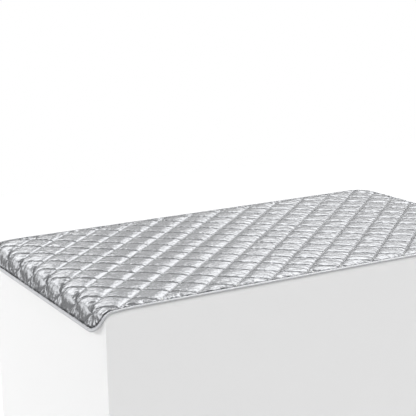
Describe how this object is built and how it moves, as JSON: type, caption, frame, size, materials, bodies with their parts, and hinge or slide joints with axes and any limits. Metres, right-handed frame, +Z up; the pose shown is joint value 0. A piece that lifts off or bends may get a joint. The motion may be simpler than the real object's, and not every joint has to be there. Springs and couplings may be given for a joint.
{
  "type": "ironing pad",
  "caption": "Quilted heat-reflecting ironing pad laid on a flat top, with bound edges, folds across it and one end hanging over the edge as a short flap.",
  "frame": {"origin": "middle of the underside of the middle third, on the plane the pad lies on", "axes": "+X along the pad to the right, away from the hanging flap, +Y to the rear, +Z up out of the silver face"},
  "size_m": [0.8327, 0.48, 0.0399],
  "materials": {
    "aluminised_cloth": "woven cloth with an aluminium coating, silver, half-matt metallic sheen with fine creases",
    "polyester_wadding": "white needled polyester wadding, matt",
    "backing_cloth": "light grey plain woven backing cloth, matt",
    "binding_tape": "bias tape of the silver cloth, folded round the edge, slightly brighter and smoother"
  },
  "bodies": {
    "middle_third": {"face_cloth_middle": "aluminised_cloth", "wadding_middle": "polyester_wadding", "backing_cloth_middle": "backing_cloth", "edge_binding_middle_front": "binding_tape", "edge_binding_middle_rear": "binding_tape"},
    "left_third": {"face_cloth_left": "aluminised_cloth", "wadding_left": "polyester_wadding", "backing_cloth_left": "backing_cloth", "edge_binding_left_front": "binding_tape", "edge_binding_left_rear": "binding_tape"},
    "right_third": {"face_cloth_right": "aluminised_cloth", "wadding_right": "polyester_wadding", "backing_cloth_right": "backing_cloth", "edge_binding_right": "binding_tape"},
    "flap": {"face_cloth_flap": "aluminised_cloth", "wadding_flap": "polyester_wadding", "backing_cloth_flap": "backing_cloth", "edge_binding_flap": "binding_tape"}
  },
  "joints": [
    {"name": "left_fold", "type": "hinge", "parent": "middle_third", "child": "left_third", "pos_m": [-0.145, 0, 0.0082], "axis": [0, 1, 0], "range_deg": [0, 179.95]},
    {"name": "right_fold", "type": "hinge", "parent": "middle_third", "child": "right_third", "pos_m": [0.145, 0, 0.0054], "axis": [0, -1, 0], "range_deg": [0, 179.95]},
    {"name": "flap_lift", "type": "hinge", "parent": "left_third", "child": "flap", "pos_m": [-0.3949, 0, 0.0004], "axis": [0, 1, 0], "range_deg": [0, 70]}
  ]
}
